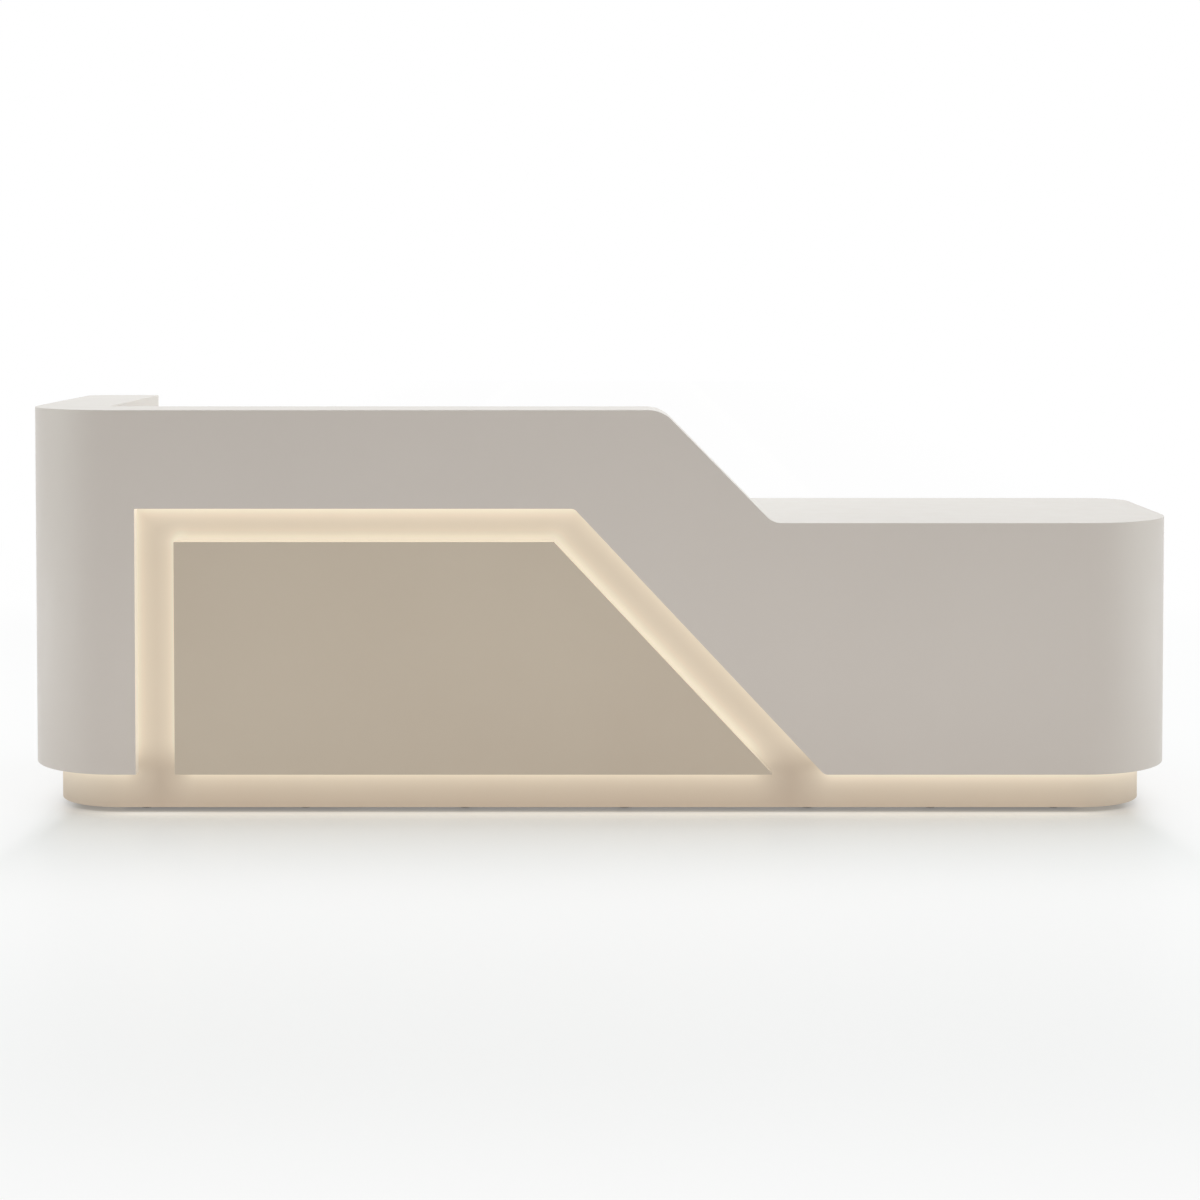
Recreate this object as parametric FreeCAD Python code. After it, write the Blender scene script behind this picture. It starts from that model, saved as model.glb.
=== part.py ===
# Reception desk with a raised counter, a low counter and a lit front.
# The desk stands on z = 0 and x runs across it, left to right for a visitor.
# Depths are measured from the visitor face, which looks along -y, towards the staff side.

import FreeCAD
import Part

import math
import os

# Overall sizes, in millimetres
desk_width = 3000.0
wing_depth = 900.0
desk_depth = 740.0
high_height = 1050.0
low_height = 760.0
wall_depth = 200.0

# Rounded corners in plan
front_corner_radius = 250.0
wing_corner_radius = 50.0
desk_corner_radius = 100.0

# Slope between the two counters, its head is where the sharp corner would be
slope_head_x = 159.0
slope_angle = math.radians(45.5)
slope_head_radius = 85.0
slope_foot_radius = 52.0

# Boards
shell_thickness = 36.0
top_thickness = 36.0
board = 18.0
light_gap = 29.0
shell_bottom = 110.0
floor_gap = 12.0
top_arris = 2.0
edge_arris = 1.5
band_radius = 1.0

# Lit channel in the shell, and its width on the three sides of the panel
channel_inset = 305.0
channel_top = 796.0
channel_foot_x = 578.0
channel_angle = math.radians(46.8)
channel_side_width = 100.0
channel_top_width = 85.0
channel_slope_width = 96.0
channel_corner_radius = 20.0
panel_corner_radius = 2.0

# Light strips and the profiles that hold them
profile_width = 12.0
profile_depth = 6.0
strip_width = 10.0
strip_depth = 2.0
led_setback = 4.0

# Ribs, battens and feet
high_rib_count = 4
low_rib_count = 3
wing_rib_count = 3
batten_width = 60.0
batten_margin = 90.0
foot_pad_radius = 20.0
foot_stem_radius = 5.0
foot_stem_rise = 14.0
foot_hole_gap = 0.2
foot_from_rib = 60.0
nut_width = 17.0
nut_height = 8.0
foot_plate_depth = 97.0

# Cupboard and pedestal under the worktop
cupboard_width = 600.0
pedestal_width = 470.0
front_gap = 3.0
hinge_gap = 2.0
shelf_height = 410.0
shelf_setback = 24.0
shelf_gap = 0.5
shelf_pin_radius = 2.5
shelf_pin_hole_gap = 0.05
shelf_pin_depth = 8.0
shelf_pin_reach = 9.0
service_gap = 3.0

# Drawers, the low ones share the height that the file drawer leaves
small_drawer_height = 141.0
box_side = 12.0
box_bottom = 6.0
box_lift = 12.0
box_drop = 30.0
box_back_drop = 10.0
box_rear_gap = 36.0
runner_space = 12.7
runner_height = 37.0
runner_wall = 2.0
runner_flange = 9.0
runner_gap = 0.5
runner_lift = 20.0

# Handles
handle_spacing = 128.0
handle_overhang = 16.0
handle_bar_radius = 5.0
handle_post_radius = 4.0
handle_reach = 28.0
handle_from_edge = 40.0
drawer_handle_drop = 62.0

# Butt hinges of the cupboard doors
hinge_height = 60.0
hinge_inset = 80.0
barrel_radius = 3.5
barrel_lift = 0.5
hinge_pin_radius = 1.75
hinge_pin_gap = 0.05
leaf_thickness = 1.5
leaf_width = 16.0
leaf_clear = 0.15
knuckle_gap = 0.3

# Lock of the top drawer
lock_from_edge = 48.0
lock_drop = 28.0
lock_housing_radius = 9.5
lock_flange_radius = 12.0
lock_flange_depth = 2.0
lock_flange_arris = 0.8
lock_plug_radius = 7.0
lock_gap = 0.05
lock_cam_length = 38.0
lock_cam_width = 10.0
lock_cam_thickness = 2.5
lock_rear_gap = 3.0
key_slot_width = 1.6
key_slot_length = 8.0
key_slot_depth = 3.0

# Fittings of the worktop
grommet_from_wall = 75.0
grommet_left_x = -350.0
grommet_right_x = 300.0
grommet_hole_radius = 30.0
grommet_fit_gap = 0.2
grommet_wall = 2.8
grommet_flange_radius = 36.0
grommet_flange_height = 3.0
grommet_tail = 2.0
bracket_leg = 60.0
bracket_thickness = 4.0
bracket_width = 40.0
bracket_count = 3
bracket_from_cabinet = 200.0
join_plate_length = 120.0
join_plate_width = 40.0
join_plate_thickness = 3.0
join_plate_count = 3

# Driver of the lights with its mains gland, and the light switch
driver_x = 100.0
driver_length = 180.0
driver_height = 60.0
driver_depth = 36.0
driver_drop = 80.0
gland_from_end = 30.0
gland_radius = 9.0
gland_bore_radius = 4.0
gland_length = 20.0
gland_nut_height = 6.0
switch_x = -600.0
switch_rise = 100.0
switch_width = 86.0
switch_depth = 8.0
rocker_width = 40.0
rocker_height = 60.0
rocker_gap = 1.0
rocker_back_gap = 3.5
rocker_depth = 7.0
rocker_pin_radius = 1.5
rocker_pin_gap = 0.05
rocker_pin_reach = 3.0

# Places that follow from the sizes above
left_x = -desk_width / 2
right_x = desk_width / 2
left_corner_x = left_x + front_corner_radius
right_corner_x = right_x - front_corner_radius
wing_inner_x = left_x + wall_depth
recess = shell_thickness + light_gap
back_inner = recess + board
wall_inner = wall_depth - board
under_high = high_height - top_thickness
under_low = low_height - top_thickness
grommet_seat = low_height - grommet_flange_height
half_turn = math.tan(slope_angle / 2)
slope_foot_x = slope_head_x + (high_height - low_height) / math.tan(slope_angle)
high_end_x = slope_head_x - slope_head_radius * half_turn
low_start_x = slope_foot_x + slope_foot_radius * half_turn
wing_back = wing_depth - wing_corner_radius
fronts_face = desk_depth - shell_thickness
fronts_back = fronts_face - board
plinth_back = desk_depth - recess
plinth_top_of_plate = floor_gap + board
channel_left_x = left_x + channel_inset
channel_head_x = channel_foot_x - (channel_top - shell_bottom) / math.tan(channel_angle)
panel_left_x = channel_left_x + channel_side_width
panel_top = channel_top - channel_top_width
panel_foot_x = channel_foot_x - channel_slope_width / math.sin(channel_angle)
panel_head_x = panel_foot_x - (panel_top - shell_bottom) / math.tan(channel_angle)


def at(x, depth, z):
    return FreeCAD.Vector(x, depth - wing_depth / 2, z)


def block(x0, x1, depth0, depth1, z0, z1):
    return Part.makeBox(x1 - x0, depth1 - depth0, z1 - z0, at(x0, depth0, z0))


def banded(x0, x1, depth0, depth1, z0, z1):
    # Board whose edge towards the staff carries a rounded band.
    return soften(block(x0, x1, depth0, depth1, z0, z1), band_radius, lambda c: near(depth_of(c), depth1))


def rod(x, depth, z, radius, length, direction):
    return Part.makeCylinder(radius, length, at(x, depth, z), FreeCAD.Vector(*direction))


def corner(before, here, after, radius):
    # Start, middle and end of the arc that rounds one corner of an outline.
    to_before = (before - here).normalize()
    to_after = (after - here).normalize()
    half = to_before.getAngle(to_after) / 2
    reach = radius / math.tan(half)
    bisector = (to_before + to_after).normalize()
    middle = here + bisector * (radius / math.sin(half) - radius)
    return here + to_before * reach, middle, here + to_after * reach


def rounded_face(points, radii):
    # Flat face inside a closed outline whose corners are rounded by the radii.
    ends = []
    arcs = []
    for i, point in enumerate(points):
        if radii[i] > 0:
            start, middle, end = corner(points[i - 1], point, points[(i + 1) % len(points)], radii[i])
            arcs.append(Part.Arc(start, middle, end).toShape())
            ends.append((start, end))
        else:
            arcs.append(None)
            ends.append((point, point))
    edges = []
    for i, arc in enumerate(arcs):
        if arc:
            edges.append(arc)
        leave = ends[i][1]
        arrive = ends[(i + 1) % len(ends)][0]
        if leave.distanceToPoint(arrive) > 1e-6:
            edges.append(Part.makeLine(leave, arrive))
    return Part.Face(Part.Wire(edges))


def slab(outline, z0, z1):
    # Outline of (x, depth, radius) in plan, raised from z0 to z1.
    face = rounded_face([at(x, depth, z0) for x, depth, _ in outline], [r for _, _, r in outline])
    return face.extrude(FreeCAD.Vector(0, 0, z1 - z0))


def sheet(outline, depth0, depth1):
    # Outline of (x, z, radius) seen from the visitor side, between two depths.
    face = rounded_face([at(x, depth0, z) for x, z, _ in outline], [r for _, _, r in outline])
    return face.extrude(FreeCAD.Vector(0, depth1 - depth0, 0))


def bar(outline, x0, x1):
    # Outline of (depth, z, radius) seen from the end, between two x places.
    face = rounded_face([at(x0, depth, z) for depth, z, _ in outline], [r for _, _, r in outline])
    return face.extrude(FreeCAD.Vector(x1 - x0, 0, 0))


def spread(first, last, count):
    return [first + (last - first) * i / (count - 1) for i in range(count)]


def soften(solid, radius, wanted):
    return solid.makeFillet(radius, [edge for edge in solid.Edges if wanted(edge.CenterOfMass)])


def near(a, b):
    return abs(a - b) < 1e-3


def depth_of(point):
    return point.y + wing_depth / 2


def head_corner(offset):
    radius = max(slope_head_radius - offset, 0.0)
    return slope_head_x - offset * half_turn, high_height - offset, radius


def foot_corner(offset):
    return slope_foot_x - offset * half_turn, low_height - offset, slope_foot_radius + offset


def wall_sheet(x0, x1, bottom, depth0, depth1):
    # Full sheet of the front wall under the tops, with the slope between the two heights.
    outline = [
        (x0, bottom, 0),
        (x1, bottom, 0),
        (x1, under_low, 0),
        foot_corner(top_thickness),
        head_corner(top_thickness),
        (x0, under_high, 0),
    ]
    return sheet(outline, depth0, depth1)


def left_bend(offset, thickness, end_depth, z0, z1):
    # Sheet that turns the left front corner, set in from the outer face by the offset.
    inner = offset + thickness
    outline = [
        (left_corner_x, offset, 0),
        (left_x + offset, offset, front_corner_radius - offset),
        (left_x + offset, end_depth, 0),
        (left_x + inner, end_depth, 0),
        (left_x + inner, inner, front_corner_radius - inner),
        (left_corner_x, inner, 0),
    ]
    return slab(outline, z0, z1)


def right_bend(offset, thickness, end_depth, z0, z1):
    inner = offset + thickness
    outline = [
        (right_corner_x, offset, 0),
        (right_x - offset, offset, front_corner_radius - offset),
        (right_x - offset, end_depth, 0),
        (right_x - inner, end_depth, 0),
        (right_x - inner, inner, front_corner_radius - inner),
        (right_corner_x, inner, 0),
    ]
    return slab(outline, z0, z1)


def build_shell(parts):
    outline = [
        (left_corner_x, shell_bottom, 0),
        (channel_left_x, shell_bottom, 0),
        (channel_left_x, channel_top, panel_corner_radius),
        (channel_head_x, channel_top, channel_corner_radius),
        (channel_foot_x, shell_bottom, channel_corner_radius),
        (right_corner_x, shell_bottom, 0),
        (right_corner_x, under_low, 0),
        foot_corner(top_thickness),
        head_corner(top_thickness),
        (left_corner_x, under_high, 0),
    ]
    def on_lit_edge(c):
        return near(depth_of(c), 0) and (near(c.z, shell_bottom) or near(c.x, channel_left_x))

    def on_side_foot(c):
        return near(c.z, shell_bottom) and (near(c.x, left_x) or near(c.x, right_x))

    parts["front_shell"] = soften(sheet(outline, 0, shell_thickness), edge_arris, on_lit_edge)
    bend = left_bend(0, shell_thickness, wing_back, shell_bottom, under_high)
    parts["shell_left"] = soften(bend, edge_arris, on_side_foot)

    return_x = right_x - desk_corner_radius
    inner_x = right_x - shell_thickness
    inner_back = desk_depth - shell_thickness
    outline = [
        (right_corner_x, 0, 0),
        (right_x, 0, front_corner_radius),
        (right_x, desk_depth, desk_corner_radius),
        (return_x, desk_depth, 0),
        (return_x, inner_back, 0),
        (inner_x, inner_back, max(desk_corner_radius - shell_thickness, 0.0)),
        (inner_x, shell_thickness, front_corner_radius - shell_thickness),
        (right_corner_x, shell_thickness, 0),
    ]
    parts["shell_right"] = soften(slab(outline, shell_bottom, under_low), edge_arris, on_side_foot)

    outline = [
        (left_x, wing_back, 0),
        (wing_inner_x, wing_back, 0),
        (wing_inner_x, wing_depth, edge_arris),
        (left_x, wing_depth, wing_corner_radius - edge_arris),
    ]
    parts["wing_end_post"] = slab(outline, shell_bottom, under_high)


def build_tops(parts):
    outline = [
        (left_x, 0, front_corner_radius),
        (high_end_x, 0, 0),
        (high_end_x, wall_depth, 0),
        (wing_inner_x, wall_depth, 0),
        (wing_inner_x, wing_depth, edge_arris),
        (left_x, wing_depth, wing_corner_radius - edge_arris),
    ]
    top = slab(outline, under_high, high_height)
    parts["high_counter_top"] = soften(
        top, top_arris, lambda c: near(c.z, high_height) and not near(c.x, high_end_x)
    )

    outline = [
        (high_end_x, high_height, 0),
        head_corner(0),
        foot_corner(0),
        (low_start_x, low_height, 0),
        (low_start_x, under_low, 0),
        foot_corner(top_thickness),
        head_corner(top_thickness),
        (high_end_x, under_high, 0),
    ]
    capping = sheet(outline, 0, wall_depth)
    middle_x = (slope_head_x + slope_foot_x) / 2
    middle_z = (high_height + low_height) / 2

    def on_upper_edge(c):
        at_side = near(depth_of(c), 0) or near(depth_of(c), wall_depth)
        at_joint = near(c.x, high_end_x) or near(c.x, low_start_x)
        rise = (c.x - middle_x) * math.sin(slope_angle) + (c.z - middle_z) * math.cos(slope_angle)
        return at_side and not at_joint and rise > -top_thickness / 2

    parts["slope_capping"] = soften(capping, top_arris, on_upper_edge)

    outline = [
        (low_start_x, 0, 0),
        (right_x, 0, front_corner_radius),
        (right_x, desk_depth, desk_corner_radius),
        (low_start_x, desk_depth, 0),
    ]
    top = slab(outline, under_low, low_height)
    parts["low_counter_top"] = soften(
        top, top_arris, lambda c: near(c.z, low_height) and not near(c.x, low_start_x)
    )

    top = block(wing_inner_x, low_start_x, wall_depth, desk_depth, under_low, low_height)
    top = soften(top, top_arris, lambda c: near(c.z, low_height) and near(depth_of(c), desk_depth))
    depth = wall_depth + grommet_from_wall
    seat_radius = grommet_flange_radius + grommet_fit_gap
    for x in (grommet_left_x, grommet_right_x):
        top = top.cut(rod(x, depth, under_low, grommet_hole_radius, top_thickness, (0, 0, 1)))
        top = top.cut(rod(x, depth, grommet_seat, seat_radius, grommet_flange_height, (0, 0, 1)))
    parts["worktop"] = top


def build_panel(parts):
    outline = [
        (panel_left_x, shell_bottom, panel_corner_radius),
        (panel_foot_x, shell_bottom, panel_corner_radius),
        (panel_head_x, panel_top, panel_corner_radius),
        (panel_left_x, panel_top, panel_corner_radius),
    ]
    panel = sheet(outline, 0, shell_thickness)
    parts["inset_panel"] = soften(panel, edge_arris, lambda c: near(depth_of(c), 0))


def build_backboards(parts):
    parts["backboard_front"] = wall_sheet(left_corner_x, right_corner_x, floor_gap, recess, back_inner)
    wing_end = wing_depth - recess
    parts["backboard_left"] = left_bend(recess, board, wing_end, floor_gap, under_high)
    parts["backboard_right"] = right_bend(recess, board, plinth_back, floor_gap, under_low)


def inner_corner_x(depth):
    # Inner face of the right backboard at one depth.
    radius = front_corner_radius - back_inner
    rise = max(front_corner_radius - depth, 0.0)
    return right_corner_x + math.sqrt(radius ** 2 - rise ** 2)


cabinet_right_x = inner_corner_x(wall_inner) - service_gap


def build_inner_panels(parts):
    left = wing_inner_x - board
    parts["wall_inner_panel"] = wall_sheet(left, cabinet_right_x, floor_gap, wall_inner, wall_depth)
    parts["wing_inner_panel"] = block(left, wing_inner_x, wall_depth, wing_back, shell_bottom, under_high)


def rib_places():
    high = spread(left_corner_x, high_end_x - 2 * foot_from_rib, high_rib_count)
    low = spread(low_start_x + board, right_corner_x - 2 * foot_from_rib, low_rib_count)
    return high, low


def wing_rib_depths():
    return spread(front_corner_radius + board, wing_depth - recess - 2 * board, wing_rib_count)


def build_ribs(parts):
    high, low = rib_places()
    z = plinth_top_of_plate
    ribs = [block(x, x + board, back_inner, wall_inner, z, under_high) for x in high]
    ribs += [block(x, x + board, back_inner, wall_inner, z, under_low) for x in low]
    left = left_x + back_inner
    right = wing_inner_x - board
    ribs += [block(left, right, d, d + board, z, under_high) for d in wing_rib_depths()]
    parts["wall_ribs"] = Part.makeCompound(ribs)


def build_battens(parts):
    side_top = under_high - batten_margin
    low_top = under_low - batten_margin
    bottom = shell_bottom + batten_margin
    half = batten_width / 2
    front = shell_thickness
    battens = []

    rail_z = (channel_top + under_high) / 2
    battens.append(block(channel_left_x, high_end_x - batten_margin, front, recess, rail_z - half, rail_z + half))

    field = spread(channel_foot_x + batten_margin, right_corner_x - batten_margin - batten_width, 2)
    battens += [block(x, x + batten_width, front, recess, bottom, low_top) for x in field]

    panel = spread(panel_left_x + batten_margin, panel_head_x - batten_margin - batten_width, 2)
    battens += [block(x, x + batten_width, front, recess, bottom, panel_top - batten_margin) for x in panel]

    outer = left_x + shell_thickness
    wing = spread(front_corner_radius + batten_margin, wing_back - batten_margin - batten_width, 2)
    battens += [block(outer, outer + light_gap, d, d + batten_width, bottom, side_top) for d in wing]

    inner = right_x - recess
    side = spread(front_corner_radius + batten_margin, plinth_back - batten_margin - batten_width, 2)
    battens += [block(inner, inner + light_gap, d, d + batten_width, bottom, low_top) for d in side]
    parts["standoff_battens"] = Part.makeCompound(battens)


cupboard_left_x = wing_inner_x
cupboard_right_x = cupboard_left_x + cupboard_width
pedestal_left_x = cabinet_right_x - pedestal_width
drawers_left_x = pedestal_left_x + board
drawers_right_x = cabinet_right_x - board
plinth_front_back = plinth_back - board


def foot_places():
    high, low = rib_places()
    wall_middle = (back_inner + wall_inner) / 2
    places = [(x + foot_from_rib, wall_middle) for x in high + low]
    wing_middle = (left_x + back_inner + wing_inner_x - board) / 2
    depths = wing_rib_depths()
    for first, second in zip(depths, depths[1:]):
        places.append((wing_middle, (first + second + board) / 2))
    plate_middle = plinth_front_back - foot_plate_depth / 2
    for left, right in ((cupboard_left_x, cupboard_right_x), (pedestal_left_x, cabinet_right_x)):
        places.append((left + board + foot_from_rib, plate_middle))
        places.append((right - board - foot_from_rib, plate_middle))
    return places


def build_base(parts):
    top = plinth_top_of_plate
    plate_front = plinth_front_back - foot_plate_depth
    wing_plate_end = wing_depth - recess - board
    plates = [
        block(left_corner_x, right_corner_x, back_inner, wall_inner, floor_gap, top),
        block(left_x + back_inner, wing_inner_x - board, front_corner_radius, wing_plate_end, floor_gap, top),
    ]
    boards = [
        block(left_x + back_inner, wing_inner_x, wing_plate_end, wing_depth - recess, floor_gap, shell_bottom),
        block(wing_inner_x - board, wing_inner_x, wall_depth, wing_plate_end, floor_gap, shell_bottom),
    ]
    for left, right in ((cupboard_left_x, cupboard_right_x), (pedestal_left_x, cabinet_right_x)):
        plates.append(block(left + board, right - board, plate_front, plinth_front_back, floor_gap, top))
        boards.append(block(left, right, plinth_front_back, plinth_back, floor_gap, shell_bottom))
        boards.append(block(left, left + board, wall_depth, plinth_front_back, floor_gap, shell_bottom))
        boards.append(block(right - board, right, wall_depth, plinth_front_back, floor_gap, shell_bottom))

    hole_radius = foot_stem_radius + foot_hole_gap
    holes = [rod(x, depth, floor_gap, hole_radius, board, (0, 0, 1)) for x, depth in foot_places()]
    drilled = [plate.cut(Part.makeCompound(holes)) for plate in plates]
    parts["base_plates"] = Part.makeCompound(drilled)
    parts["plinth_boards"] = Part.makeCompound(boards)

    feet = []
    nuts = []
    for x, depth in foot_places():
        pad = soften(rod(x, depth, 0, foot_pad_radius, floor_gap, (0, 0, 1)), edge_arris, lambda c: near(c.z, 0))
        stem = rod(x, depth, floor_gap / 2, foot_stem_radius, floor_gap / 2 + board + foot_stem_rise, (0, 0, 1))
        feet.append(pad.fuse(stem))
        corners = []
        for i in range(6):
            turn = math.radians(60 * i)
            reach = nut_width / 2 / math.cos(math.radians(30))
            corners.append((x + reach * math.cos(turn), depth + reach * math.sin(turn), 0))
        nut = slab(corners, top, top + nut_height)
        nuts.append(nut.cut(rod(x, depth, top, hole_radius, nut_height, (0, 0, 1))))
    parts["levelling_feet"] = Part.makeCompound([foot.Solids[0] for foot in feet])
    parts["foot_nuts"] = Part.makeCompound(nuts)


def slope_run(foot_x, near_edge, far_edge, z0, z1, depth0, depth1):
    # Strip along a slanted channel edge, between two distances to the right of that edge.
    def place(z, distance):
        return foot_x - (z - shell_bottom) / math.tan(channel_angle) + distance / math.sin(channel_angle)

    outline = [
        (place(z0, near_edge), z0, 0),
        (place(z0, far_edge), z0, 0),
        (place(z1, far_edge), z1, 0),
        (place(z1, near_edge), z1, 0),
    ]
    return sheet(outline, depth0, depth1)


def light_runs(depth0, depth1, width):
    # Every straight and bent run behind the edges of the shell and of the panel.
    near_edge = led_setback + (profile_width - width) / 2
    far_edge = near_edge + width
    clear = led_setback + 2 * profile_width
    low = shell_bottom + clear
    thickness = depth1 - depth0
    bottom0 = shell_bottom + near_edge
    bottom1 = shell_bottom + far_edge
    right_start = channel_foot_x + clear
    right_end = desk_depth - desk_corner_radius

    runs = [
        block(channel_left_x - far_edge, channel_left_x - near_edge, depth0, depth1, low, channel_top),
        block(channel_left_x, channel_head_x, depth0, depth1, channel_top + near_edge, channel_top + far_edge),
        slope_run(channel_foot_x, near_edge, far_edge, low, channel_top, depth0, depth1),
        block(left_corner_x, channel_left_x - clear, depth0, depth1, bottom0, bottom1).fuse(
            left_bend(depth0, thickness, wing_back - clear, bottom0, bottom1)).removeSplitter(),
        block(right_start, right_corner_x, depth0, depth1, bottom0, bottom1).fuse(
            right_bend(depth0, thickness, right_end, bottom0, bottom1)).removeSplitter(),
    ]
    runs += [
        block(panel_left_x + near_edge, panel_left_x + far_edge, depth0, depth1, low, panel_top - clear),
        block(panel_left_x + clear, panel_head_x - clear, depth0, depth1, panel_top - far_edge, panel_top - near_edge),
        slope_run(panel_foot_x, -far_edge, -near_edge, low, panel_top - clear, depth0, depth1),
        block(panel_left_x + clear, panel_foot_x - 2 * clear, depth0, depth1, bottom0, bottom1),
    ]
    return Part.makeCompound([run.Solids[0] for run in runs])


def build_lights(parts):
    profile_end = shell_thickness + profile_depth
    parts["led_profiles"] = light_runs(shell_thickness, profile_end, profile_width)
    parts["led_strips"] = light_runs(profile_end, profile_end + strip_depth, strip_width)

    driver_top = under_low - driver_drop
    driver_bottom = driver_top - driver_height
    case = block(driver_x, driver_x + driver_length, wall_depth, wall_depth + driver_depth, driver_bottom, driver_top)
    parts["led_driver"] = soften(case, top_arris, lambda c: near(depth_of(c), wall_depth + driver_depth))

    x = driver_x + driver_length - gland_from_end
    depth = wall_depth + driver_depth / 2
    down = (0, 0, -1)
    gland = rod(x, depth, driver_bottom, gland_radius, gland_nut_height, down)
    dome = rod(x, depth, driver_bottom, gland_radius - edge_arris, gland_length, down)
    dome = soften(dome, edge_arris, lambda c: near(c.z, driver_bottom - gland_length))
    gland = gland.fuse(dome).cut(rod(x, depth, driver_bottom, gland_bore_radius, gland_length, down))
    parts["mains_gland"] = gland.Solids[0]


def build_switch(parts):
    z = low_height + switch_rise + switch_width / 2
    half = switch_width / 2
    front = wall_depth + switch_depth
    plate = block(switch_x - half, switch_x + half, wall_depth, front, z - half, z + half)
    plate = soften(plate, edge_arris, lambda c: near(depth_of(c), front))
    hole_x = rocker_width / 2 + rocker_gap
    hole_z = rocker_height / 2 + rocker_gap
    plate = plate.cut(block(switch_x - hole_x, switch_x + hole_x, wall_depth, front, z - hole_z, z + hole_z))

    pin_depth = wall_depth + rocker_back_gap + rocker_depth / 2
    pin_half = rocker_width / 2 + rocker_pin_reach
    socket_half = pin_half + rocker_gap
    socket_radius = rocker_pin_radius + rocker_pin_gap
    socket = rod(switch_x - socket_half, pin_depth, z, socket_radius, 2 * socket_half, (1, 0, 0))
    parts["switch_plate"] = plate.cut(socket)

    back = wall_depth + rocker_back_gap
    tip = back + rocker_depth
    outline = [
        (back, z - rocker_height / 2, 0),
        (tip, z - rocker_height / 2, edge_arris),
        (tip - edge_arris, z, 0),
        (tip, z + rocker_height / 2, edge_arris),
        (back, z + rocker_height / 2, 0),
    ]
    rocker = bar(outline, switch_x - rocker_width / 2, switch_x + rocker_width / 2)
    pin = rod(switch_x - pin_half, pin_depth, z, rocker_pin_radius, 2 * pin_half, (1, 0, 0))
    parts["switch_rocker"] = rocker.fuse(pin).Solids[0]


def build_fittings(parts):
    depth = wall_depth + grommet_from_wall
    outer = grommet_hole_radius - grommet_fit_gap
    inner = outer - grommet_wall
    bottom = under_low - grommet_tail
    grommets = []
    for x in (grommet_left_x, grommet_right_x):
        sleeve = rod(x, depth, bottom, outer, grommet_seat - bottom, (0, 0, 1))
        flange = rod(x, depth, grommet_seat, grommet_flange_radius, grommet_flange_height, (0, 0, 1))
        flange = soften(flange, edge_arris, lambda c: near(c.z, low_height))
        ring = sleeve.fuse(flange)
        grommets.append(ring.cut(rod(x, depth, bottom, inner, low_height - bottom, (0, 0, 1))).Solids[0])
    parts["grommets"] = Part.makeCompound(grommets)

    outline = [
        (wall_depth, under_low, 0),
        (wall_depth + bracket_leg, under_low, 0),
        (wall_depth + bracket_leg, under_low - bracket_thickness, 0),
        (wall_depth + bracket_thickness, under_low - bracket_thickness, bracket_thickness),
        (wall_depth + bracket_thickness, under_low - bracket_leg, 0),
        (wall_depth, under_low - bracket_leg, 0),
    ]
    first = cupboard_right_x + bracket_from_cabinet
    last = pedestal_left_x - bracket_from_cabinet
    brackets = [bar(outline, x, x + bracket_width) for x in spread(first, last - bracket_width, bracket_count)]
    parts["worktop_brackets"] = Part.makeCompound(brackets)

    half = join_plate_length / 2
    first = wall_depth + bracket_leg
    last = desk_depth - bracket_leg - join_plate_width
    z = under_low - join_plate_thickness
    plates = []
    for d in spread(first, last, join_plate_count):
        plates.append(block(low_start_x - half, low_start_x + half, d, d + join_plate_width, z, under_low))
    parts["joining_plates"] = Part.makeCompound(plates)


def handle(x, z, upright):
    # Bar handle on two posts, standing on the faces of the doors and drawers.
    half = handle_spacing / 2
    bar_depth = fronts_face + handle_reach - handle_bar_radius
    length = handle_spacing + 2 * handle_overhang
    middle = at(x, bar_depth, z)
    if upright:
        posts = [(x, z - half), (x, z + half)]
        grip = rod(x, bar_depth, z - length / 2, handle_bar_radius, length, (0, 0, 1))
    else:
        posts = [(x - half, z), (x + half, z)]
        grip = rod(x - length / 2, bar_depth, z, handle_bar_radius, length, (1, 0, 0))
    grip = soften(grip, edge_arris, lambda c: c.distanceToPoint(middle) > half)
    for post_x, post_z in posts:
        grip = grip.fuse(rod(post_x, fronts_face, post_z, handle_post_radius, bar_depth - fronts_face, (0, 1, 0)))
    return grip.Solids[0]


def knuckle(x, depth, z0, z1, towards):
    # Ring of a hinge barrel with the web that joins it to its leaf.
    ring = rod(x, depth, z0, barrel_radius, z1 - z0, (0, 0, 1))
    reach = barrel_radius + leaf_thickness
    edges = sorted((x, x + towards * reach))
    web = block(edges[0], edges[1], fronts_face, fronts_face + leaf_thickness, z0, z1)
    bore = rod(x, depth, z0, hinge_pin_radius + hinge_pin_gap, z1 - z0, (0, 0, 1))
    return ring.fuse(web).cut(bore)


def leaf(x, depth, z, towards, turns):
    # Hinge leaf on one side of the barrel, the turning leaf has the middle knuckle.
    drop = depth - fronts_face
    clear = math.sqrt(max((barrel_radius + leaf_clear) ** 2 - (drop - leaf_thickness) ** 2, 0.0))
    edges = sorted((x + towards * clear, x + towards * leaf_width))
    plate = block(edges[0], edges[1], fronts_face, fronts_face + leaf_thickness, z, z + hinge_height)
    third = hinge_height / 3
    if turns:
        spans = [(z + third + knuckle_gap, z + 2 * third - knuckle_gap)]
    else:
        spans = [(z, z + third), (z + 2 * third, z + hinge_height)]
    for z0, z1 in spans:
        plate = plate.fuse(knuckle(x, depth, z0, z1, towards))
    return plate.removeSplitter().Solids[0]


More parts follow.
